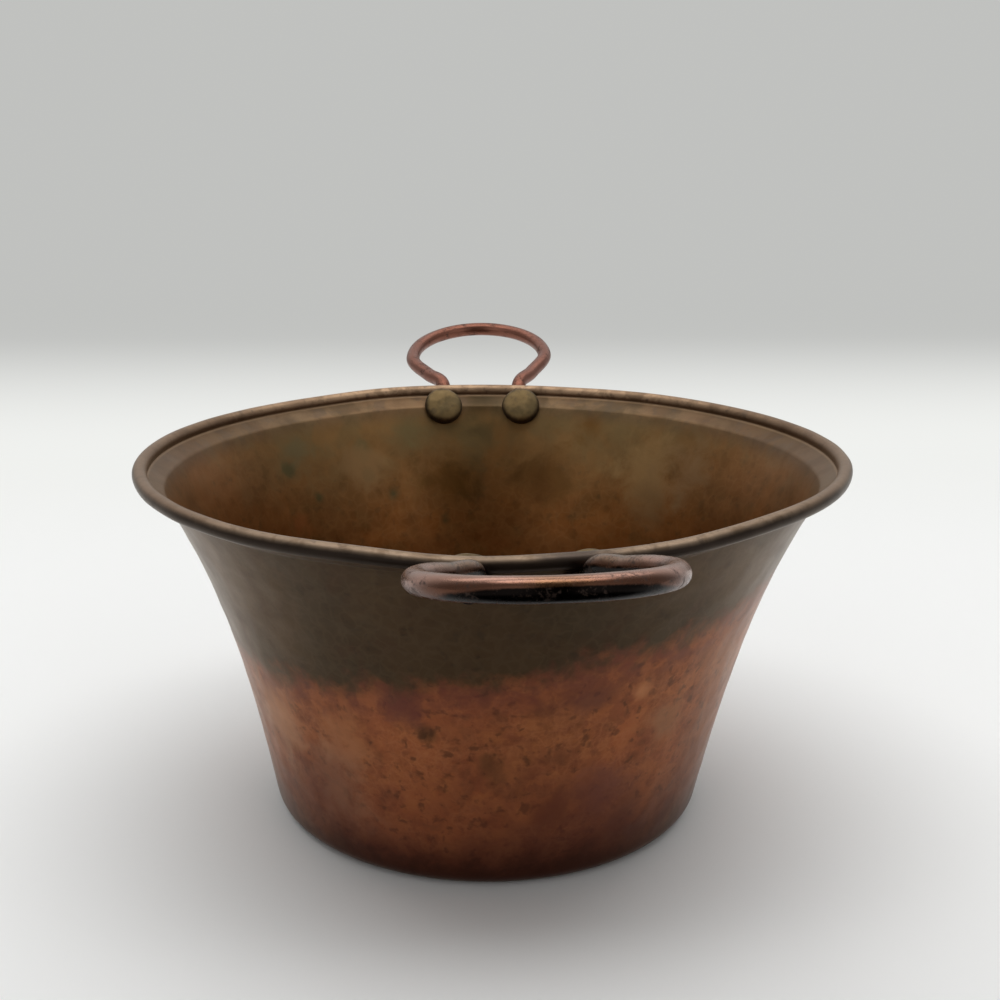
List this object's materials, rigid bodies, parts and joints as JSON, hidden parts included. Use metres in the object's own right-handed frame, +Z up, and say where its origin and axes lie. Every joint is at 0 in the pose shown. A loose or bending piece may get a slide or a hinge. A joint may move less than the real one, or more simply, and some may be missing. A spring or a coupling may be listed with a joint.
{
  "type": "copper cauldron",
  "caption": "Flared copper pan with a flat base, a rolled rim over a wire and a riveted loop handle at the front and rear.",
  "frame": {"origin": "centre of the flat base, on the surface that the pan stands on", "axes": "+Z up through the open top; -Y towards the front handle, +Y towards the rear handle; +X to the right seen from the front"},
  "size_m": [0.24, 0.3835, 0.1415],
  "materials": {
    "pan_copper": "hammered copper with a brown and olive patina",
    "rim_wire_iron": "drawn wire, hidden in the rolled rim",
    "handle_copper": "forged copper rod, worn and darkened",
    "rivet_copper": "hammered copper rivets, dull"
  },
  "bodies": {
    "root": {"pan_body": "pan_copper", "rim_wire": "rim_wire_iron", "front_handle": "handle_copper", "rear_handle": "handle_copper", "front_left_rivet": "rivet_copper", "front_right_rivet": "rivet_copper", "rear_left_rivet": "rivet_copper", "rear_right_rivet": "rivet_copper"}
  },
  "joints": []
}
